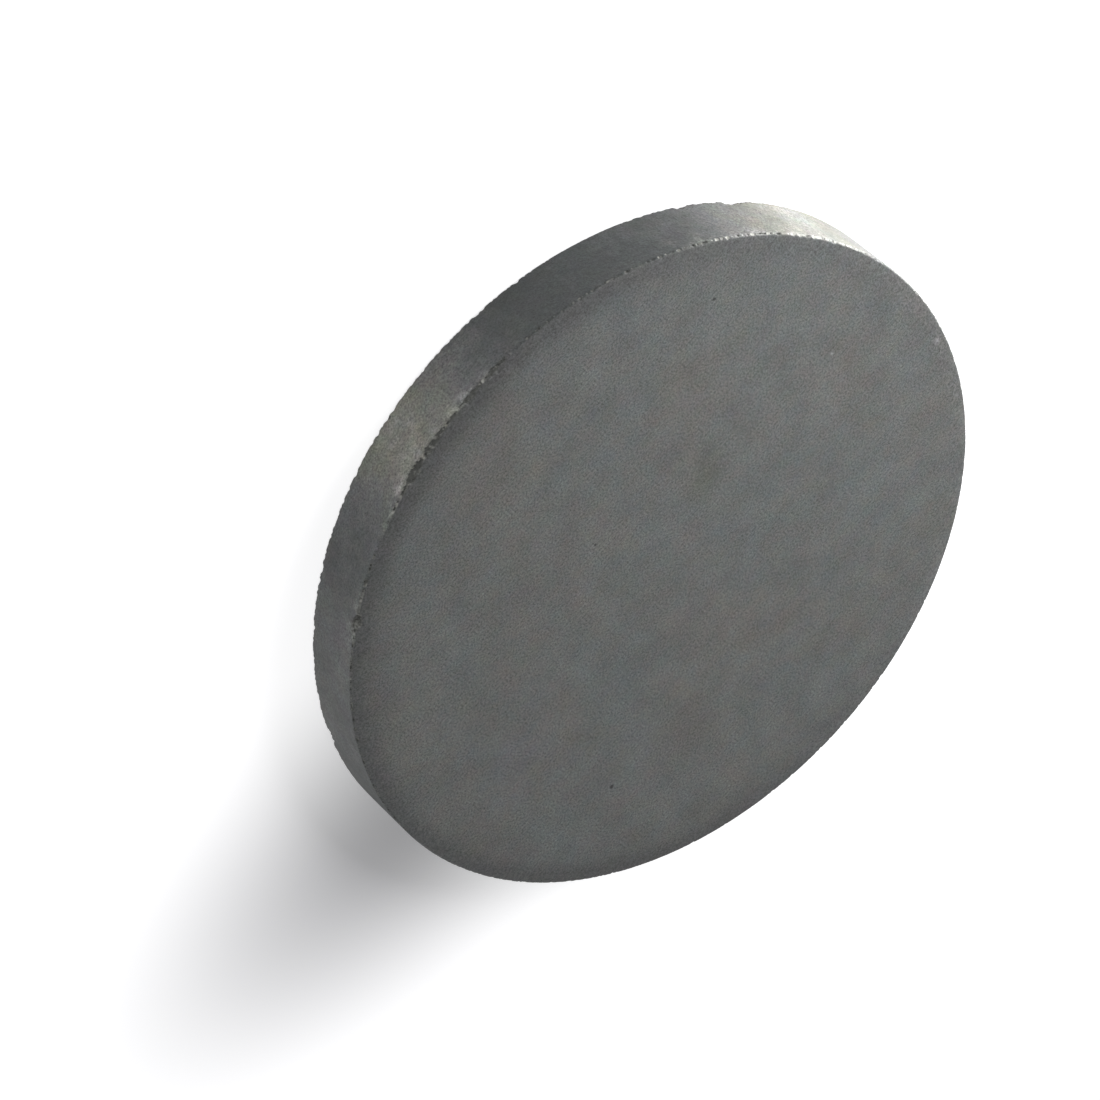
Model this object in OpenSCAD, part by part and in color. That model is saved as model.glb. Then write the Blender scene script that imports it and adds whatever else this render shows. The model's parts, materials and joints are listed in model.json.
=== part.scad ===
// Disc magnet of sintered hard ferrite, magnetised through its thickness.
// The disc lies on its lower pole face, centred on the origin, with +Z through both pole faces.
// Its upper pole face has the soft margin that the top punch leaves. Its lower edge is sharp.

/* [Disc] */
// Diameter over the rim
disc_d = 30; // [12:0.5:80]
// Thickness over the two pole faces
disc_t = 3; // [2:0.1:12]

/* [Upper edge] */
// Radial width of the margin that rolls off towards the rim
margin_w = 1.2; // [0.4:0.1:3]
// How far the margin has fallen where it reaches the rim
margin_drop = 0.1; // [0.04:0.01:0.3]
// Height of the 45 degree break between the margin and the rim
corner_leg = 0.06; // [0.03:0.01:0.2]

/* [Lower edge] */
// Leg of the 45 degree break between the lower pole face and the rim
lower_leg = 0.04; // [0.02:0.01:0.3]

/* [Chipped edges] */
// Draw the places where grains have broken out of the edges
show_chips = true;
// Distance along the edge between the shallow bites of the crumbled run
bite_pitch = 0.7; // [0.5:0.05:2]
// Depth of a shallow bite, measured square to the edge
bite_depth = 0.1; // [0.05:0.01:0.15]
// Depth of a deep nick, measured square to the edge
nick_depth = 0.22; // [0.1:0.01:0.35]

/* [Hidden] */
$fn = 192;

disc_r = disc_d / 2;

// The margin is an arc that leaves the upper pole face tangentially and falls margin_drop over margin_w.
margin_r = (margin_w ^ 2 + margin_drop ^ 2) / (2 * margin_drop);

// Heights of the two edges, before they are broken.
upper_edge = disc_t - margin_drop;
lower_edge = 0;

// The crumbled run on the upper edge, as angles round the disc.
run_from = 264;
run_to = 291;
run_bites = floor((run_to - run_from) * PI / 180 * disc_r / bite_pitch);

// Deep nicks: angle round the disc, and length along the edge.
upper_nicks = [[310.7, 1.2]];
lower_nicks = [[214.6, 1.3], [224.2, 0.7], [339.5, 1.2]];

// No two bites that lie side by side are the same size.
function bite_size(i) = 1 + 0.3 * sin(137 * i);

// What the rolled margin takes off the square corner of the profile.
module margin_waste() {
    difference() {
        translate([disc_r - margin_w, upper_edge]) square([2 * margin_w, 2 * margin_drop]);
        translate([disc_r - margin_w, disc_t - margin_r]) circle(r = margin_r);
    }
}

module corner_waste() {
    reach = 3 * corner_leg;
    translate([disc_r, upper_edge - corner_leg])
        polygon([[0, 0], [reach, 0], [reach, reach], [-reach, reach]]);
}

module lower_waste() {
    polygon([[disc_r - lower_leg, 0], [disc_r, 0], [disc_r, lower_leg]]);
}

module disc_profile() {
    difference() {
        square([disc_r, disc_t]);
        margin_waste();
        corner_waste();
        lower_waste();
    }
}

// A spherical scoop in an edge, given its length along the edge and its depth square to it.
// lean is 1 on the upper edge, where the scoop comes from above, and -1 on the lower one.
module scoop(angle, edge, length, depth, lean) {
    scoop_r = (length ^ 2 / 4 + depth ^ 2) / (2 * depth);
    stand_off = (scoop_r - depth) * sqrt(0.5);
    rotate([0, 0, angle])
        translate([disc_r + stand_off, 0, edge + lean * stand_off])
            sphere(r = scoop_r);
}

module chips() {
    for (i = [0 : run_bites]) {
        angle = run_from + (run_to - run_from) * i / run_bites;
        scoop(angle, upper_edge, bite_pitch * bite_size(i), bite_depth * bite_size(i + 3), 1);
    }
    for (nick = upper_nicks) scoop(nick[0], upper_edge, nick[1], nick_depth, 1);
    for (nick = lower_nicks) scoop(nick[0], lower_edge, nick[1], nick_depth, -1);
}

module magnet_disc() {
    color("#626360")
        difference() {
            rotate_extrude() disc_profile();
            if (show_chips) chips();
        }
}

magnet_disc();
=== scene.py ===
"""Disc magnet of sintered hard ferrite, with its ground pole faces, pressed rim and crumbled edges.

The disc lies on its lower pole face, centred on the origin, with +Z through both pole faces.
Lengths are in metres unless a name or a comment says mm or millimetres, and angles are in degrees
unless a name ends in _rad.
"""

import json
import math

import bpy
import numpy as np
from bpy.props import FloatProperty, FloatVectorProperty, IntProperty, PointerProperty
from mathutils import Matrix, Vector

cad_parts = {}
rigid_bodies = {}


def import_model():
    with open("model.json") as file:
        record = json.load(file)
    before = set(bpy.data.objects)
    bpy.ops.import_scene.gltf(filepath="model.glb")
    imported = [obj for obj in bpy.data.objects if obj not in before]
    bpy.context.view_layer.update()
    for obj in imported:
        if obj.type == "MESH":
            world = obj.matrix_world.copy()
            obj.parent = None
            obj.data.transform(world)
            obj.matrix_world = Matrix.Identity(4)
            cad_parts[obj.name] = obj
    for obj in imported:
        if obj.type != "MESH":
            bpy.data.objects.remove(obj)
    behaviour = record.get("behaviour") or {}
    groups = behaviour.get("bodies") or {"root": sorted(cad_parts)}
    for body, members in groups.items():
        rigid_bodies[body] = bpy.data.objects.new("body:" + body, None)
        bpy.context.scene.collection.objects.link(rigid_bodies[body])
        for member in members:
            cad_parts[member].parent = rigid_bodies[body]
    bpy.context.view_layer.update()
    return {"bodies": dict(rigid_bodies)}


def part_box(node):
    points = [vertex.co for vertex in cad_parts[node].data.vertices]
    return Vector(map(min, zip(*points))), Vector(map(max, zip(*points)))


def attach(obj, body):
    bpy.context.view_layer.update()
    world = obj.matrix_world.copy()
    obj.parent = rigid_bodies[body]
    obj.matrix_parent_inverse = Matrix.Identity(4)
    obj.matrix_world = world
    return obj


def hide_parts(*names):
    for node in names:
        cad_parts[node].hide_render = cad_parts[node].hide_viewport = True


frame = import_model()

bl_info = {
    "name": "Ferrite disc magnet",
    "version": (1, 0, 0),
    "blender": (4, 5, 0),
    "location": "3D View > Sidebar > Magnet",
    "description": "Builds a pressed and sintered disc magnet with crumbled edges",
    "category": "Object",
}

MM = 0.001
NODE = "magnet_disc"
BODY = next(iter(frame["bodies"]))
LOW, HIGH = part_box(NODE)
DISC_R = (HIGH.x - LOW.x) / 2
DISC_T = HIGH.z - LOW.z


def linear(hex_colour):
    """An sRGB colour such as "#6b6c69" as linear red, green and blue."""
    value = np.array([int(hex_colour[i : i + 2], 16) for i in (1, 3, 5)]) / 255
    return tuple(np.where(value <= 0.04045, value / 12.92, ((value + 0.055) / 1.055) ** 2.4))


# ---------------------------------------------------------------- settings


class MagnetShape(bpy.types.PropertyGroup):
    """Sizes of the disc's two edges and of what has broken out of them."""

    margin_width: FloatProperty(
        name="Margin width",
        description="Radial width of the rolled margin of the upper pole face",
        default=1.2 * MM,
        unit="LENGTH",
        precision=5,
    )
    margin_drop: FloatProperty(
        name="Margin drop",
        description="How far the margin has fallen at the rim",
        default=0.1 * MM,
        unit="LENGTH",
        precision=5,
    )
    corner_leg: FloatProperty(
        name="Upper break",
        description="Height of the break between the margin and the rim",
        default=0.06 * MM,
        unit="LENGTH",
        precision=5,
    )
    lower_leg: FloatProperty(
        name="Lower break",
        description="Leg of the break between the lower pole face and the rim",
        default=0.04 * MM,
        unit="LENGTH",
        precision=5,
    )
    bite_pitch: FloatProperty(
        name="Bite pitch",
        description="Distance along the edge between the bites of the crumbled run",
        default=0.7 * MM,
        unit="LENGTH",
        precision=5,
    )
    bite_depth: FloatProperty(
        name="Bite depth",
        description="Depth of a bite, square to the edge",
        default=0.1 * MM,
        unit="LENGTH",
        precision=5,
    )
    nick_depth: FloatProperty(
        name="Nick depth",
        description="Depth of a deep nick, square to the edge",
        default=0.22 * MM,
        unit="LENGTH",
        precision=5,
    )
    relief: FloatProperty(
        name="Rim relief",
        description="Height of the low bumps on the rim, and a third of the height of its slow wave",
        default=0.008 * MM,
        unit="LENGTH",
        precision=6,
    )
    segments: IntProperty(
        name="Segments",
        description="Steps round the disc",
        default=1980,
        min=64,
        max=1980,
    )
    seed: IntProperty(
        name="Seed",
        description="Picks another scatter of fine crumbs",
        default=7,
    )


class MagnetFinish(bpy.types.PropertyGroup):
    """Colours of the ferrite, some of which paint light and shade."""

    ground_cool: FloatVectorProperty(
        name="Ground face, cool",
        description="Ground ferrite where it is bluish grey",
        subtype="COLOR",
        default=linear("#5e6363"),
    )
    ground_warm: FloatVectorProperty(
        name="Ground face, warm",
        description="Ground ferrite where it is brownish grey",
        subtype="COLOR",
        default=linear("#63625f"),
    )
    # Painted shade: the margin is darker mostly for the shade of its rolled edge, over a slightly duller tone
    # of its own.
    margin: FloatVectorProperty(
        name="Margin",
        description="Ferrite at the rolled edge, which the wheel has missed",
        subtype="COLOR",
        default=linear("#474848"),
    )
    pressed_dark: FloatVectorProperty(
        name="Pressed rim, dark",
        description="Pressed ferrite in its dark clouds",
        subtype="COLOR",
        default=linear("#303433"),
    )
    pressed: FloatVectorProperty(
        name="Pressed rim",
        description="Pressed ferrite",
        subtype="COLOR",
        default=linear("#5d5e5d"),
    )
    pressed_light: FloatVectorProperty(
        name="Pressed rim, light",
        description="Pressed ferrite in its pale olive clouds",
        subtype="COLOR",
        default=linear("#76766d"),
    )
    # Pale flecks under the upper edge, and a painted highlight where the rim's bright band lies.
    rubbed: FloatVectorProperty(
        name="Rubbed",
        description="Pressed ferrite that has been rubbed pale under the upper edge",
        subtype="COLOR",
        default=linear("#a3a49e"),
    )
    fracture: FloatVectorProperty(
        name="Broken grain",
        description="Ferrite inside the chips",
        subtype="COLOR",
        default=linear("#545552"),
    )
    # Painted shade in the step where a chip ends on the rim.
    step: FloatVectorProperty(
        name="Step",
        description="The shaded step where a chip ends on the rim",
        subtype="COLOR",
        default=linear("#2b2c2a"),
    )
    # Painted glints: pale crumbs where the broken edge catches the light.
    painted_glint: FloatVectorProperty(
        name="Glint",
        description="Crystal faces inside the chips",
        subtype="COLOR",
        default=linear("#c4c4bd"),
    )


class MagnetStage(bpy.types.PropertyGroup):
    """Camera, floor and light."""

    view_elevation: FloatProperty(
        name="View elevation",
        description="Height of the camera above the horizon, in degrees",
        default=43.0,
    )
    view_roll: FloatProperty(
        name="View roll",
        description="Turn of the camera about its own line of sight, in degrees",
        default=131.6,
    )
    view_distance: FloatProperty(
        name="View distance",
        description="From the camera to the disc, along the line of sight",
        default=201.3 * MM,
        unit="LENGTH",
        precision=5,
    )
    key_power: FloatProperty(
        name="Key power",
        description="Power of the key softbox",
        default=0.0165,
        unit="POWER",
        precision=4,
    )
    strip_power: FloatProperty(
        name="Low strip power",
        description="Power of the low strip, which lights the rim alone",
        default=0.0138,
        unit="POWER",
        precision=4,
    )
    front_power: FloatProperty(
        name="Front power",
        description="Power of the front softbox",
        default=0.11,
        unit="POWER",
        precision=4,
    )
    sky: FloatProperty(
        name="Room light",
        description="Strength of the plain light from all round",
        default=0.36,
    )


# Lamps: turn round the disc and rise above the horizon in degrees, distance from the disc's middle,
# width, height, and how high on the disc it aims. The key stands high enough that the pole face
# doesn't mirror it from low down, and the strip lies below that face and lights the rim alone.
LAMPS = {
    "key": (180.0, 45.0, 46 * MM, 38 * MM, 38 * MM, DISC_T),
    "strip": (166.0, 2.86, 32 * MM, 36 * MM, 2.6 * MM, DISC_T / 2),
    "front": (295.0, 12.0, 200 * MM, 120 * MM, 120 * MM, DISC_T),
}
# Light that the white floor adds for rays from the camera and in reflections: in the middle of the
# painted shadow beside the disc, on the side away from the key, and clear of it.
CARD_LIFT = (0.1, 0.72)
# The painted shadow is an oval where that light dips: its middle, its turn in degrees, and its
# half length and half width.
PAINTED_SHADOW_MIDDLE = (1.1 * DISC_R, 0.1 * DISC_R, 0.0)
PAINTED_SHADOW_TURN = 348.0
PAINTED_SHADOW_HALVES = (1.2 * DISC_R, 0.79 * DISC_R, DISC_R)
# Half the floor's width, and how far it lies under the disc, so that the two don't share a plane.
FLOOR_HALF, FLOOR_UNDER = 1.5, 0.02 * MM
FLOOR_CORNERS = ((-1, -1), (1, -1), (1, 1), (-1, 1))
# The camera's sensor and lens in mm, and how far the disc's middle stands to the right of the
# picture's middle and above it, in disc radii.
SENSOR_MM, LENS_MM = 36, 163.6
BESIDE = (0.322, -0.050)

# ------------------------------------------------------------ the disc mesh

# Angles round the disc between which the upper edge has crumbled into a run of bites.
CRUMBLED_RUN = (264.0, 291.0)
# Deep nicks: angle round the disc, and length along the edge.
UPPER_NICKS = ((310.7, 1.2 * MM),)
LOWER_NICKS = ((214.6, 1.3 * MM), (224.2, 0.7 * MM), (339.5, 1.2 * MM))
# Rows of crumbs: edge (1 upper, -1 lower), from and to angles, number, longest length, share of
# the length that is depth, stray from the even place in steps, and how pale the break is on average,
# which paints glints where the crumbs catch the light.
CRUMBS = (
    (1, 0.0, 360.0, 520, 0.2 * MM, 0.25, 3.0, 0.12),
    (1, 196.0, 211.0, 34, 0.3 * MM, 0.25, 1.5, 0.6),
    (1, 210.5, 228.0, 18, 0.21 * MM, 0.32, 0.3, 1.0),
    (1, 210.0, 238.5, 28, 0.2 * MM, 0.3, 0.6, 0.0),
    (1, 228.0, 238.5, 16, 0.15 * MM, 0.34, 0.8, 0.5),
    (1, 240.0, 257.0, 14, 0.18 * MM, 0.3, 1.0, 0.2),
    (1, 240.0, 257.0, 14, 0.16 * MM, 0.3, 1.0, 0.0),
    (1, 263.0, 291.0, 7, 1.5 * MM, 0.1, 1.0, 0.0),
    (1, 262.0, 292.0, 70, 0.3 * MM, 0.22, 1.5, 0.2),
    (1, 299.0, 317.0, 30, 0.34 * MM, 0.2, 1.5, 0.12),
    (1, 318.0, 356.0, 70, 0.3 * MM, 0.2, 1.5, 0.05),
    (-1, 0.0, 360.0, 420, 0.2 * MM, 0.25, 3.0, 0.2),
    (-1, 208.0, 232.0, 24, 0.34 * MM, 0.25, 1.5, 0.2),
    (-1, 254.0, 352.0, 120, 0.34 * MM, 0.25, 7.0, 0.1),
)
# A chip's colour begins where a point has moved in by the first of these, and is full at the second
# on the rim's side of the edge, where chips end crisply, and at the third on the pole face's side.
CHIP_DEPTHS = (0.003 * MM, 0.03 * MM, 0.1 * MM)
# Along its end on the rim a chip has a small step, painted dark as shade, down to this depth.
STEP_DEPTH = 0.06 * MM

# The rim's skin: its middle tone, and its clouds, as share of the tone and size in millimetres.
SKIN_TONE = 0.5
SKIN_CLOUDS = ((0.1, 4.0), (0.09, 1.6), (0.07, 0.7), (0.08, 0.3))
# Patches of the skin: angle round the disc, half length in degrees, and change of tone. Some of
# them are painted highlight and painted shade, as marked below.
SKIN_AND_PAINTED_LIGHT_PATCHES = (
    (60, 20, 0.25),
    # Painted shade: tones down the rim where the key lights it most.
    (148, 30, -0.3),
    # Painted highlight: this pair makes the bright band on the rim near 205 degrees.
    (206, 12, 0.6),
    (204.5, 6, 0.15),
    # Dark clouds, deepened by painted shade where that bright band ends.
    (236, 13, -0.5),
    (254, 11, -0.58),
    (281, 9, 0.42),
    (304, 9, -0.3),
    (322, 9, -0.24),
    (339, 9, -0.2),
    # Painted shade: dims the floor's reflection in the rim here.
    (353, 9, -0.45),
)
# Painted light: how much the tone rises from the rim's upper edge down to its lower one, against
# the shade near the floor.
PAINTED_FOOT_LIGHT = 0.06
# Where the rim is flecked pale just under its upper edge: angle, half length in degrees, and how
# pale. The patch at 217 degrees, at the end of the bright band, is a painted highlight.
PALE_FLECK_PATCHES = ((285.5, 6, 1.3), (273, 5, 0.6), (217, 11, 0.4), (250, 9, 0.05), (311, 4, 0.35))
# How far down the rim that zone reaches, its flecks as share and size in mm, and how pale they get.
PALE_FLECK_WIDTH = 0.42 * MM
PALE_FLECK_SIZES = ((0.7, 0.35), (0.6, 0.12))
PALE_FLECK_PEAK = 1.7
# Where the margin's painted shade deepens on the side turned from the light, and fades to the
# face's tone on the side turned to it: angle, half length in degrees, how much deeper.
MARGIN_SHADE_PATCHES = ((30, 28, 0.25), (124, 38, -1.0), (190, 30, -0.4), (275, 28, 0.35))
# The rim's relief: sizes in mm of its low bumps, its fine bumps and its slow wave, how many times
# higher than the bumps the wave is, and the shares of the radius where it begins and over which it
# grows.
RELIEF_CELLS = (1.2, 0.4, 12)
WAVE_HEIGHT = 3
RELIEF_START, RELIEF_RAMP = 0.97, 0.03
# How uneven a chip's floor is, as shares of its depth, each with its size in mm.
CHIP_ROUGHNESS = ((0.35, 0.1), (0.3, 0.2))
# Where stations stand on both sides of an edge: the first gap, how each gap grows, and their number.
FIRST_GAP, GAP_GROWTH, GAPS = 0.042 * MM, 1.25, 8
# Where they stand elsewhere: at these shares of the radius on the upper and the lower pole face, and
# in this many even steps across the upper break and between the rim's crowded ends.
UPPER_SHARES, UNDER_SHARES = (0.3, 0.6, 0.84), (0.9, 0.6, 0.3)
BREAK_STEPS, RIM_STEPS = 3, 6


def half_section(shape):
    """Radius and height of the profile's stations, from near the upper centre to near the lower one.

    The margin is an arc that leaves the upper pole face tangentially: at a distance x out from its
    start it has fallen by a - sqrt(a² - x²), where a is the arc's radius. A break at 45 degrees
    joins it to the rim. Stations crowd together towards both edges, where the chips are.
    """
    width, drop = shape.margin_width, shape.margin_drop
    arc = (width**2 + drop**2) / (2 * drop)
    inner = DISC_R - width
    slope_at_rim = width / math.sqrt(arc**2 - width**2)
    break_start = DISC_R - shape.corner_leg / (1 - slope_at_rim)
    from_edge = np.append(0, np.cumsum(FIRST_GAP * GAP_GROWTH ** np.arange(GAPS)))

    over_r = DISC_R * np.array(UPPER_SHARES)
    over = np.stack([over_r, np.full_like(over_r, DISC_T)], 1)
    margin_r = np.append(inner, break_start - from_edge[::-1])
    margin = np.stack([margin_r, DISC_T - arc + np.sqrt(arc**2 - (margin_r - inner) ** 2)], 1)
    rim_top, rim_foot = DISC_T - drop - shape.corner_leg, shape.lower_leg
    across = np.linspace(0, 1, BREAK_STEPS + 1)[1:-1, None]
    corner = margin[-1] + across * (np.array([DISC_R, rim_top]) - margin[-1])
    top, foot = rim_top - from_edge, rim_foot + from_edge[::-1]
    rim_z = np.concatenate([top, np.linspace(top[-1], foot[0], RIM_STEPS + 1)[1:-1], foot])
    rim = np.stack([np.full_like(rim_z, DISC_R), rim_z], 1)
    broken = np.array([[DISC_R - shape.lower_leg / 2, shape.lower_leg / 2]])
    under_r = np.append(DISC_R - shape.lower_leg - from_edge[:-1], DISC_R * np.array(UNDER_SHARES))
    under = np.stack([under_r, np.zeros_like(under_r)], 1)
    return np.concatenate([over, margin, corner, rim, broken, under])


def lattice_noise(turn, path, cell, rng):
    """Smooth noise from -1 to 1, with cells of one size, that closes on itself round the disc.

    turn runs from 0 to 1 round the disc, and path is the length along the profile. Each point of
    a lattice has a random height, and a place between four of them blends their heights by
    3t² - 2t³ in each direction.
    """
    columns = max(3, round(2 * math.pi * DISC_R / cell))
    x, y = turn * columns, path / cell
    i, j = np.floor(x).astype(int), np.floor(y).astype(int)
    heights = rng.uniform(-1, 1, (columns, j.max() + 2))
    tx, ty = (t * t * (3 - 2 * t) for t in (x - i, y - j))
    here, following = i % columns, (i + 1) % columns
    low = heights[here, j] * (1 - tx) + heights[following, j] * tx
    high = heights[here, j + 1] * (1 - tx) + heights[following, j + 1] * tx
    return low * (1 - ty) + high * ty


def bites_and_nicks(shape):
    """The larger scoops: lean, angle, length along the edge, depth, how far in, and paleness.

    Along the crumbled run the length of bite i follows 1 + 0.3 sin(137 i), and its depth does the
    same three bites on, so that no two neighbours are alike. lean is 1 on the upper edge and -1 on
    the lower one.
    """
    start, end = CRUMBLED_RUN
    bites = math.floor(math.radians(end - start) * DISC_R / shape.bite_pitch)
    i = np.arange(bites + 1)
    longer, deeper = (1 + 0.3 * np.sin(np.radians(137 * k)) for k in (i, i + 3))
    angle = start + (end - start) * i / bites
    none = np.zeros(bites + 1)
    run = np.stack([none + 1, angle, shape.bite_pitch * longer, shape.bite_depth * deeper, none, none], 1)
    nicks = [(1, angle, length, shape.nick_depth, 0, 0.1) for angle, length in UPPER_NICKS]
    nicks += [(-1, angle, length, shape.nick_depth, 0, 0) for angle, length in LOWER_NICKS]
    return np.concatenate([run, np.array(nicks)])


def crumbs(shape, rng):
    """Small scoops along both edges, as rows like those of bites_and_nicks.

    Each crumb stands at its even place in its row plus a random shift. Most crumbs are small: a
    length is the longest one times a random share that leans to the low end. A crumb is cut into
    the edge's break, so its ball is set in by the depth of the break.
    """
    leg = {1: shape.corner_leg, -1: shape.lower_leg}
    rows = []
    for lean, start, end, count, longest, share, stray, pale in CRUMBS:
        place = np.arange(count) + 0.5 + stray * rng.uniform(-0.5, 0.5, count)
        angle = start + (end - start) * place / count
        length = longest * (0.5 + 0.5 * rng.random(count) ** 1.5)
        depth = length * share * rng.uniform(0.7, 1.3, count)
        same = np.ones(count)
        set_in = same * leg[lean] * math.sqrt(0.5)
        shades = 2 * pale * rng.random(count)
        rows.append(np.stack([same * lean, angle, length, depth, set_in, shades], 1))
    return np.concatenate(rows)


def carve(points, turn_rad, scoops, shape, roughness):
    """How far each point moves in, square to its edge, to be out of every scoop, and its paleness.

    A scoop is a ball whose centre stands off the edge, at 45 degrees. A point inside the ball
    follows the line square to the edge until it leaves it: with b the point's distance from the
    centre along that line, and c its squared distance less the ball's squared radius, the way
    out is sqrt(b² - c) - b long. Where scoops overlap, the longest way counts. roughness moves
    each ball's radius, so that what it leaves looks broken and not turned.
    """
    edge_height = {1: DISC_T - shape.margin_drop, -1: 0.0}
    move, paleness = np.zeros(points.shape[:2]), np.zeros(points.shape[:2])
    columns = len(turn_rad)
    for lean, angle, length, depth, set_in, pale in scoops:
        ball_r = (length**2 / 4 + depth**2) / (2 * depth)
        stand_off = (ball_r - depth - set_in) * math.sqrt(0.5)
        at_rad = math.radians(angle)
        centre = np.array(
            [
                (DISC_R + stand_off) * math.cos(at_rad),
                (DISC_R + stand_off) * math.sin(at_rad),
                edge_height[lean] + lean * stand_off,
            ]
        )
        reach = round(length / DISC_R / (2 * math.pi) * columns) + 2
        near = (round(at_rad / (2 * math.pi) * columns) + np.arange(-reach, reach + 1)) % columns
        inward = np.stack(
            [-np.cos(turn_rad[near]), -np.sin(turn_rad[near]), np.full(len(near), -lean)], 1
        ) * math.sqrt(0.5)
        offset = points[:, near] - centre
        b = (offset * inward).sum(2)
        c = (offset**2).sum(2) - (ball_r + roughness[:, near] * depth) ** 2
        way_out = np.where(c < 0, np.sqrt(np.maximum(b * b - c, 0)) - b, 0.0)
        paleness[:, near] = np.where(way_out > move[:, near], pale, paleness[:, near])
        move[:, near] = np.maximum(move[:, near], way_out)
    return move, paleness


def disc_surface(section, turn, path, shape, rng):
    """The disc's surface as a grid of points, how deep each one lies in a chip, and how pale.

    A point at the angle a of the profile's station (r, z) is (r cos a, r sin a, z). Towards the rim
    r loses the relief times the sum of low bumps, fine bumps and three times a slow wave, each of
    them noise from 0 to 1, so the rim is lowered and never raised. Then the scoops are carved.
    """
    turn_rad = turn[0] * 2 * math.pi
    low, fine, wave = (0.5 + 0.5 * lattice_noise(turn, path, cell * MM, rng) for cell in RELIEF_CELLS)
    outer = ((section[:, 0, None] / DISC_R - RELIEF_START) / RELIEF_RAMP).clip(0, 1)
    radius = section[:, 0, None] - outer * shape.relief * (low + fine + WAVE_HEIGHT * wave)
    height = np.broadcast_to(section[:, 1, None], radius.shape)
    points = np.stack([radius * np.cos(turn_rad), radius * np.sin(turn_rad), height], 2)

    rough = sum(share * lattice_noise(turn, path, cell * MM, rng) for share, cell in CHIP_ROUGHNESS)
    carved, paleness = np.zeros_like(radius), np.zeros_like(radius)
    scoops = np.concatenate([bites_and_nicks(shape), crumbs(shape, rng)])
    upper = section[:, 1] > DISC_T / 2
    for lean, rows in ((1, upper), (-1, ~upper)):
        own = scoops[scoops[:, 0] == lean]
        move, paleness[rows] = carve(points[rows], turn_rad, own, shape, rough[rows])
        inward = np.stack([-np.cos(turn_rad), -np.sin(turn_rad), np.full(len(turn_rad), -lean)], 1)
        points[rows] += move[..., None] * inward * math.sqrt(0.5)
        carved[rows] = move
    return points, carved, paleness


def grid_faces(rows, columns):
    """Corners of the quads of a grid that closes on itself along its rows, and of the fan from a
    pole to each end row.

    Vertex k of row j is j * columns + k. The upper pole follows the grid's last vertex, and the
    lower pole follows that.
    """
    j, k = np.meshgrid(np.arange(rows - 1), np.arange(columns), indexing="ij")
    after = (k + 1) % columns
    row, next_row = j * columns, (j + 1) * columns
    quads = np.stack([row + k, next_row + k, next_row + after, row + after], 2)
    k, after = k[0], after[0]
    upper, lower = rows * columns, rows * columns + 1
    last = (rows - 1) * columns
    fan = np.stack([np.full(columns, upper), k, after], 1)
    under_fan = np.stack([np.full(columns, lower), last + after, last + k], 1)
    return quads.reshape(-1, 4), np.concatenate([fan, under_fan])


def smooth_step(value, low, high):
    """3t² - 2t³, where t is how far value has gone from low to high."""
    t = ((value - low) / (high - low)).clip(0, 1)
    return t * t * (3 - 2 * t)


def surface_zones(section, shape):
    """How far each station belongs to the pressed rim, and to the darker margin.

    The rim's skin begins at the breaks. The margin darkens from a little inside the roll-off to
    the upper break, mostly as painted shade of the rolled edge over a slightly duller tone of its
    own, and there is none on the lower side, where the wheel ground out to the edge.
    """
    radius, height = section.T
    upper = height > DISC_T / 2
    break_in = np.where(upper, shape.corner_leg, shape.lower_leg)
    rim = smooth_step(radius, DISC_R - 1.5 * break_in, DISC_R - 0.5 * break_in)
    margin = smooth_step(radius, DISC_R - 1.5 * shape.margin_width, DISC_R) * upper * (1 - rim)
    return rim, margin


def patches(turn, rows):
    """The sum of patches round the disc, each of which fades as exp(-d²) at d half lengths away."""
    total = np.zeros_like(turn)
    for angle, half_length, strength in rows:
        away = (turn * 360 - angle + 180) % 360 - 180
        total += strength * np.exp(-((away / half_length) ** 2))
    return total


def skin_tone_and_painted_light(section, turn, path, rng):
    """The mottling of the press's skin, with painted highlight and shade: 0 is blue grey, 1 is olive, and 1.5
    is palest.
    """
    clouds = sum(share * lattice_noise(turn, path, cell * MM, rng) for share, cell in SKIN_CLOUDS)
    rise = PAINTED_FOOT_LIGHT * (1 - section[:, 1, None] / DISC_T) ** 2
    return SKIN_TONE + clouds + rise + patches(turn, SKIN_AND_PAINTED_LIGHT_PATCHES)


def rubbed(section, turn, path, shape, rng):
    """How pale the rim is flecked just under its upper edge, with a painted highlight near 217 degrees.

    The flecks are where noise of a third and of an eighth of a millimetre is high, and they thin
    out downwards as exp(-d²), where d is the depth under the edge over the width of the zone.
    """
    below = (DISC_T - shape.margin_drop - section[:, 1, None]) / PALE_FLECK_WIDTH
    flecks = sum(share * lattice_noise(turn, path, cell * MM, rng) for share, cell in PALE_FLECK_SIZES)
    zone = patches(turn, PALE_FLECK_PATCHES) * np.exp(-(below**2))
    return (zone * smooth_step(flecks, -0.5, 0.9) * PALE_FLECK_PEAK).clip(0, 1)


def chipped(section, carved, shape):
    """How far each point lies in a chip, crisp on the rim and softer on the faces, and how far it
    lies in the step where the chip ends on the rim, which is painted dark as shade."""
    start, on_rim, on_face = CHIP_DEPTHS
    rim = surface_zones(section, shape)[0][:, None]
    inside = smooth_step(carved, start, on_face + (on_rim - on_face) * rim)
    return inside, rim * inside * (1 - smooth_step(carved, on_rim, STEP_DEPTH))


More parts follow.
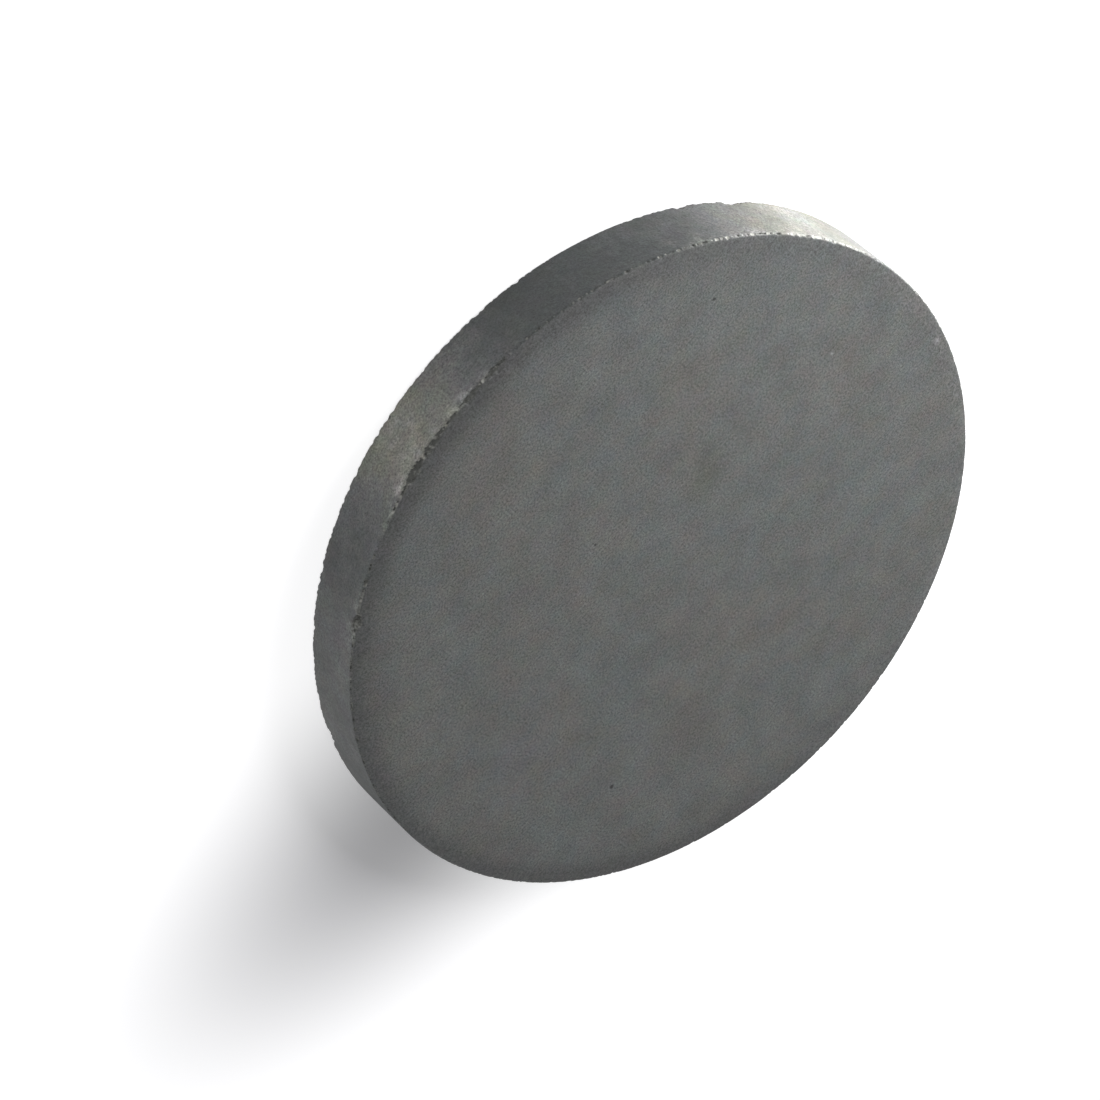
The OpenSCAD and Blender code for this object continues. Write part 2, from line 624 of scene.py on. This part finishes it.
def disc_mesh(shape):
    """The disc as one closed mesh, with its surface's state as attributes of its points.

    Inside a chip the faces are flat, so that broken grain looks crystalline beside the smooth skin.
    """
    rng = np.random.default_rng(shape.seed)
    section = half_section(shape)
    gaps = np.hypot(*np.diff(section, axis=0).T)
    path = np.append(0, np.cumsum(gaps))[:, None]
    turn = np.broadcast_to(np.arange(shape.segments) / shape.segments, (len(section), shape.segments))
    path = np.broadcast_to(path, turn.shape)
    points, carved, paleness = disc_surface(section, turn, path, shape, rng)

    quads, fans = grid_faces(*turn.shape)
    mesh = bpy.data.meshes.new("ferrite_disc")
    poles = [[0, 0, DISC_T], [0, 0, 0]]
    mesh.from_pydata(points.reshape(-1, 3).tolist() + poles, [], quads.tolist() + fans.tolist())
    broken = (carved.ravel()[quads] > CHIP_DEPTHS[1]).all(1)
    mesh.polygons.foreach_set("use_smooth", np.append(~broken, np.ones(len(fans), bool)))

    rim, margin = surface_zones(section, shape)
    inside, step = chipped(section, carved, shape)
    # These carry painted light as well: shade on the margin and in a chip's step, a highlight and shade in
    # the skin's tone, a highlight among the pale flecks, and glints on the crumbs.
    for name, values in (
        ("rim", np.broadcast_to(rim[:, None], turn.shape)),
        ("margin", margin[:, None] * (1 + patches(turn, MARGIN_SHADE_PATCHES))),
        ("tone", skin_tone_and_painted_light(section, turn, path, rng)),
        ("rubbed", rubbed(section, turn, path, shape, rng)),
        ("chipped", inside),
        ("step", step),
        ("paleness", paleness),
    ):
        of_points = mesh.attributes.new(name, "FLOAT", "POINT")
        of_points.data.foreach_set("value", np.append(values.ravel(), [0, 0]).astype(np.float32))
    mesh.validate()
    return mesh


# --------------------------------------------------------------- materials


def add(tree, kind, inputs, **settings):
    """Adds a node. inputs gives each input's value, or the output or the node that feeds it."""
    node = tree.nodes.new(kind)
    for name, value in settings.items():
        setattr(node, name, value)
    for name, value in inputs.items():
        if isinstance(value, bpy.types.Node):
            value = value.outputs[0]
        if isinstance(value, bpy.types.NodeSocket):
            tree.links.new(value, node.inputs[name])
        else:
            node.inputs[name].default_value = value
    return node


# Marks on the upper face: place in millimetres, how far it is even and how far it reaches, how
# much of it covers the face, and its colour. First faint stains, then specks.
FACE_MARKS = (
    ((-3.6, -2.3), 0.1, 1.7, 0.6, "#57584f"),
    ((0.9, 3.6), 0.1, 1.9, 0.4, "#5c5856"),
    ((4.5, 7.3), 0.1, 2.4, 0.5, "#5b5653"),
    ((1.4, 0.7), 0.1, 1.5, 0.3, "#5c5a57"),
    ((9.3, 1.0), 0.2, 2.8, 0.4, "#5e6168"),
    ((-14.2, 3.0), 0.05, 0.28, 0.35, "#a5a3a8"),
    ((-10.75, -1.3), 0.03, 0.12, 0.5, "#a4a6a6"),
    ((8.25, 6.25), 0.05, 0.12, 1.0, "#2c2c2c"),
    ((1.3, -4.25), 0.04, 0.09, 1.0, "#2c2c2c"),
    ((-8.93, -8.53), 0.04, 0.09, 1.0, "#2c2c2c"),
)

# How much the noise moves a mark's outline, as a share of its reach.
UNEVEN = 1.6
# How strongly the grain darkens and lightens, and how far hue leans on the pole faces and the rim.
GRAIN_DEPTH = 2.75
HUE_LEAN = (0.18, 0.3)

# Sockets of a Mix node that mixes colours.
SHARE, FIRST, SECOND, MIXED = 0, 6, 7, 2


def empty_material(name):
    """A new material with no nodes, and its tree."""
    material = bpy.data.materials.new(name)
    material.use_nodes = True
    material.node_tree.nodes.clear()
    return material, material.node_tree


def rgba(colour):
    """A colour as the four numbers that a socket takes."""
    return (*colour, 1.0)


def ferrite_ground_and_pressed(finish):
    """Sintered strontium ferrite, pressed in a die and ground on its two pole faces.

    The fired powder is a dull dark grey with a soft sheen. The wheel leaves the pole faces an even
    grey with faint clouds. The rim keeps the skin of the press, which is mottled olive and blue
    grey, with a painted highlight and painted shade in places. The rolled margin is darker, mostly by
    painted shade over a slightly duller tone of its own. Broken grain is darker than the face too,
    with painted glints where crumbs catch the light and painted shade in the step where a chip ends.
    """
    material, tree = empty_material("sintered_ferrite_ground_and_pressed")
    place = add(tree, "ShaderNodeTexCoord", {}).outputs["Object"]
    state = {
        name: add(tree, "ShaderNodeAttribute", {}, attribute_name=name).outputs["Fac"]
        for name in ("rim", "margin", "tone", "rubbed", "chipped", "step", "paleness")
    }

    # Clouds of 4 mm on the ground face, from bluish to brownish grey.
    wander = add(
        tree, "ShaderNodeTexNoise", {"Vector": place, "Scale": 0.25 / MM, "Detail": 6.0, "Roughness": 0.75}
    )
    drift = add(tree, "ShaderNodeMapRange", {"Value": wander, "From Min": 0.35, "From Max": 0.65})
    # The face's marks, whose outlines the same noise makes uneven.
    marks = []
    for (x, y), even, reach, share, colour in FACE_MARKS:
        centre = (x * MM, y * MM, DISC_T)
        away = add(tree, "ShaderNodeVectorMath", {0: place, 1: centre}, operation="DISTANCE").outputs["Value"]
        away = add(
            tree, "ShaderNodeMath", {0: wander, 1: UNEVEN * reach * MM, 2: away}, operation="MULTIPLY_ADD"
        )
        cover = add(
            tree,
            "ShaderNodeMapRange",
            {
                "Value": away,
                "From Min": (even + UNEVEN / 2 * reach) * MM,
                "From Max": (1 + UNEVEN / 2) * reach * MM,
                "To Min": share,
                "To Max": 0.0,
            },
            interpolation_type="SMOOTHSTEP",
        )
        marks.append((cover, linear(colour)))
    # The pressed skin's two halves of mottling, its palest tone, which carries a painted highlight
    # as well, the painted shade of a chip's step, and painted glints on broken grain.
    middling = add(tree, "ShaderNodeMapRange", {"Value": state["tone"], "From Max": 0.5})
    lighter = add(tree, "ShaderNodeMapRange", {"Value": state["tone"], "From Min": 0.5})
    glint_scatter = add(tree, "ShaderNodeTexNoise", {"Vector": place, "Scale": 6 / MM, "Detail": 1.0})
    painted_glint = add(tree, "ShaderNodeMath", {0: glint_scatter, 1: state["paleness"]}, operation="ADD")
    painted_glint = add(tree, "ShaderNodeMapRange", {"Value": painted_glint, "From Min": 0.55, "From Max": 1.2})
    step = add(tree, "ShaderNodeMath", {0: state["step"], 1: state["paleness"]}, operation="SUBTRACT")
    palest_and_highlight = add(tree, "ShaderNodeMapRange", {"Value": state["tone"], "From Min": 1.0, "From Max": 1.5})

    # Each surface is its first colour, with the others laid over it in turn.
    surfaces = {
        "ground": (
            finish.ground_cool,
            # The margin's colour is mostly painted shade.
            [(drift, finish.ground_warm), (state["margin"], finish.margin), *marks],
        ),
        "pressed": (
            finish.pressed_dark,
            [
                (middling, finish.pressed),
                (lighter, finish.pressed_light),
                # The palest tone and the pale flecks carry a painted highlight as well.
                (palest_and_highlight, finish.rubbed),
                (state["rubbed"], finish.rubbed),
            ],
        ),
        # Broken grain, with painted shade in a chip's step and painted glints.
        "broken": (finish.fracture, [(step, finish.step), (painted_glint, finish.painted_glint)]),
    }
    colours = {}
    for name, (under, layers) in surfaces.items():
        colours[name] = rgba(under)
        for share, over in layers:
            inputs = {SHARE: share, FIRST: colours[name], SECOND: rgba(over)}
            colours[name] = add(tree, "ShaderNodeMix", inputs, data_type="RGBA").outputs[MIXED]

    # Light and dark: clouds from 2 mm down to a quarter of a millimetre, then the grain. The real
    # grain is a few microns, and is drawn at a tenth of a millimetre so that it shows.
    clouds = add(
        tree, "ShaderNodeTexNoise", {"Vector": place, "Scale": 0.6 / MM, "Detail": 3.0, "Roughness": 0.7}
    )
    clouds = add(
        tree,
        "ShaderNodeMapRange",
        {"Value": clouds, "From Min": 0.25, "From Max": 0.75, "To Min": 0.82, "To Max": 1.18},
    )
    grain = add(
        tree, "ShaderNodeTexNoise", {"Vector": place, "Scale": 11 / MM, "Detail": 1.5, "Roughness": 0.9}
    )
    speckle = add(tree, "ShaderNodeMath", {0: grain, 1: 0.5}, operation="SUBTRACT")
    speckle = add(tree, "ShaderNodeMath", {0: speckle, 1: GRAIN_DEPTH, 2: 1.0}, operation="MULTIPLY_ADD")
    shade = add(tree, "ShaderNodeMath", {0: clouds, 1: speckle}, operation="MULTIPLY")
    # Hue: spots of a quarter to one millimetre that lean a little to any colour, more on the rim.
    spots = add(
        tree, "ShaderNodeTexNoise", {"Vector": place, "Scale": 1 / MM, "Detail": 2.0, "Roughness": 0.8}
    ).outputs["Color"]
    lean = add(tree, "ShaderNodeVectorMath", {0: spots, 1: (0.5, 0.5, 0.5)}, operation="SUBTRACT")
    amount = add(
        tree, "ShaderNodeMapRange", {"Value": state["rim"], "To Min": HUE_LEAN[0], "To Max": HUE_LEAN[1]}
    )
    lean = add(tree, "ShaderNodeVectorMath", {0: lean, "Scale": amount}, operation="SCALE")
    tint = add(tree, "ShaderNodeVectorMath", {0: lean, 1: (1.0, 1.0, 1.0)}, operation="ADD")
    shade = add(tree, "ShaderNodeVectorMath", {0: tint, "Scale": shade}, operation="SCALE")

    # The ground and the pressed surfaces meet at the rim, both take the shade, and chips show
    # broken grain.
    body = {SHARE: state["rim"], FIRST: colours["ground"], SECOND: colours["pressed"]}
    body = add(tree, "ShaderNodeMix", body, data_type="RGBA").outputs[MIXED]
    body = {SHARE: 1.0, FIRST: body, SECOND: shade}
    body = add(tree, "ShaderNodeMix", body, data_type="RGBA", blend_type="MULTIPLY").outputs[MIXED]
    body = {SHARE: state["chipped"], FIRST: body, SECOND: colours["broken"]}
    body = add(tree, "ShaderNodeMix", body, data_type="RGBA").outputs[MIXED]

    # Fine relief: the grain everywhere, and granules of a third of a millimetre on the rim.
    granules = add(
        tree, "ShaderNodeTexNoise", {"Vector": place, "Scale": 3 / MM, "Detail": 2.0, "Roughness": 0.7}
    )
    granules = add(tree, "ShaderNodeMath", {0: granules, 1: state["rim"]}, operation="MULTIPLY")
    relief = add(tree, "ShaderNodeBump", {"Distance": 0.006 * MM, "Height": grain.outputs[0]})
    relief = add(tree, "ShaderNodeBump", {"Distance": 0.03 * MM, "Height": granules, "Normal": relief})
    dull = add(tree, "ShaderNodeMapRange", {"Value": state["rim"], "To Min": 0.5, "To Max": 0.55})
    dull = add(tree, "ShaderNodeMath", {0: dull, 1: state["chipped"]}, operation="MAXIMUM")
    shader = add(
        tree,
        "ShaderNodeBsdfPrincipled",
        {"Base Color": body, "Roughness": dull, "IOR": 1.5, "Normal": relief},
    )
    add(tree, "ShaderNodeOutputMaterial", {"Surface": shader})
    return material


def direct_ray(tree):
    """1 for rays from the camera, in reflections and through clear things, and 0 for the rest."""
    seen = add(tree, "ShaderNodeLightPath", {}).outputs
    first = {0: seen["Is Camera Ray"], 1: seen["Is Glossy Ray"]}
    first = add(tree, "ShaderNodeMath", first, operation="MAXIMUM")
    return add(tree, "ShaderNodeMath", {0: first, 1: seen["Is Transmission Ray"]}, operation="MAXIMUM")


def white_card():
    """Matt white card. What sees it directly, or as a reflection, gets light of its own as well, so
    that it reads as a white ground and still keeps the disc's shadow. That light dips in an oval
    beside the disc, on the side away from the key, as a painted shadow."""
    material, tree = empty_material("white_card_matt")
    ray = direct_ray(tree)
    place = add(tree, "ShaderNodeTexCoord", {}).outputs["Object"]
    oval = {"Vector": place, "Location": PAINTED_SHADOW_MIDDLE, "Scale": PAINTED_SHADOW_HALVES}
    oval["Rotation"] = (0.0, 0.0, math.radians(PAINTED_SHADOW_TURN))
    place = add(tree, "ShaderNodeMapping", oval, vector_type="TEXTURE")
    away = add(tree, "ShaderNodeVectorMath", {0: place}, operation="LENGTH").outputs["Value"]
    lift = add(
        tree,
        "ShaderNodeMapRange",
        {"Value": away, "To Min": CARD_LIFT[0], "To Max": CARD_LIFT[1]},
        interpolation_type="SMOOTHSTEP",
    )
    lift = add(tree, "ShaderNodeMath", {0: ray, 1: lift}, operation="MULTIPLY")
    card = add(tree, "ShaderNodeBsdfDiffuse", {"Color": rgba(linear("#e6e6e9"))})
    glow = add(tree, "ShaderNodeEmission", {"Strength": lift})
    both = add(tree, "ShaderNodeAddShader", {0: card, 1: glow})
    add(tree, "ShaderNodeOutputMaterial", {"Surface": both})
    return material


def white_room(strength):
    """Plain light from all round, that the camera and reflections see as white."""
    world = bpy.data.worlds.new("white_room")
    world.use_nodes = True
    tree = world.node_tree
    tree.nodes.clear()
    ray = direct_ray(tree)
    ray = add(tree, "ShaderNodeMapRange", {"Value": ray, "To Min": strength, "To Max": 1.0})
    light = add(tree, "ShaderNodeBackground", {"Strength": ray})
    add(tree, "ShaderNodeOutputWorld", {"Surface": light})
    return world


# --------------------------------------------------------------- operators


class MAGNET_OT_disc(bpy.types.Operator):
    """Build the ferrite disc in place of its plain construction solid"""

    bl_idname = "magnet.disc"
    bl_label = "Ferrite disc"

    def execute(self, context):
        scene = context.scene
        disc = bpy.data.objects.new("ferrite_disc", disc_mesh(scene.magnet_shape))
        scene.collection.objects.link(disc)
        disc.data.materials.append(ferrite_ground_and_pressed(scene.magnet_finish))
        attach(disc, BODY)
        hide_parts(NODE)
        return {"FINISHED"}


def softbox(name, power, turn, rise, distance, width, height, aim):
    """An area lamp that faces the disc, at an angle round it and above the horizon."""
    turn_rad, rise_rad = math.radians(turn), math.radians(rise)
    lamp = bpy.data.lights.new(name, "AREA")
    lamp.shape, lamp.size, lamp.size_y, lamp.energy = "RECTANGLE", width, height, power
    box = bpy.data.objects.new(name, lamp)
    level = distance * math.cos(rise_rad)
    box.location = level * math.cos(turn_rad), level * math.sin(turn_rad), distance * math.sin(rise_rad)
    box.rotation_euler = (Vector((0, 0, aim)) - box.location).to_track_quat("-Z", "Y").to_euler()
    box.visible_camera = False
    bpy.context.scene.collection.objects.link(box)


class MAGNET_OT_stage(bpy.types.Operator):
    """Lay the floor and set the lamps and the camera"""

    bl_idname = "magnet.stage"
    bl_label = "Stage"

    def execute(self, context):
        scene, stage = context.scene, context.scene.magnet_stage
        corners = [(x * FLOOR_HALF, y * FLOOR_HALF, -FLOOR_UNDER) for x, y in FLOOR_CORNERS]
        mesh = bpy.data.meshes.new("floor")
        mesh.from_pydata(corners, [], [(0, 1, 2, 3)])
        floor = bpy.data.objects.new("floor", mesh)
        floor.data.materials.append(white_card())
        scene.collection.objects.link(floor)

        for name, place in LAMPS.items():
            softbox(name, getattr(stage, name + "_power"), *place)
        scene.world = white_room(stage.sky)

        lens = bpy.data.cameras.new("camera")
        lens.sensor_width, lens.lens = SENSOR_MM, LENS_MM
        camera = bpy.data.objects.new("camera", lens)
        turned = Matrix.Rotation(math.radians(90 - stage.view_elevation), 3, "X") @ Matrix.Rotation(
            math.radians(stage.view_roll), 3, "Z"
        )
        right, up, back = turned.col
        beside = BESIDE[0] * DISC_R * right + BESIDE[1] * DISC_R * up
        camera.matrix_world = turned.to_4x4()
        camera.location = Vector((0, 0, DISC_T)) + stage.view_distance * back - beside
        scene.collection.objects.link(camera)
        scene.camera = camera

        scene.view_settings.view_transform = "Standard"
        return {"FINISHED"}


class MAGNET_PT_panel(bpy.types.Panel):
    """Sizes, colours and stage of the disc magnet"""

    bl_label = "Disc magnet"
    bl_idname = "MAGNET_PT_panel"
    bl_space_type = "VIEW_3D"
    bl_region_type = "UI"
    bl_category = "Magnet"

    def draw(self, context):
        scene = context.scene
        for operator, settings in (
            ("magnet.disc", (scene.magnet_shape, scene.magnet_finish)),
            ("magnet.stage", (scene.magnet_stage,)),
        ):
            self.layout.operator(operator)
            for group in settings:
                for name in group.__annotations__:
                    self.layout.prop(group, name)


CLASSES = (MagnetShape, MagnetFinish, MagnetStage, MAGNET_OT_disc, MAGNET_OT_stage, MAGNET_PT_panel)
SETTINGS = {"magnet_shape": MagnetShape, "magnet_finish": MagnetFinish, "magnet_stage": MagnetStage}


def register():
    for cls in CLASSES:
        bpy.utils.register_class(cls)
    for name, group in SETTINGS.items():
        setattr(bpy.types.Scene, name, PointerProperty(type=group))


def unregister():
    for name in SETTINGS:
        delattr(bpy.types.Scene, name)
    for cls in reversed(CLASSES):
        bpy.utils.unregister_class(cls)


def main():
    register()
    bpy.ops.magnet.disc()
    bpy.ops.magnet.stage()


if __name__ == "__main__":
    main()
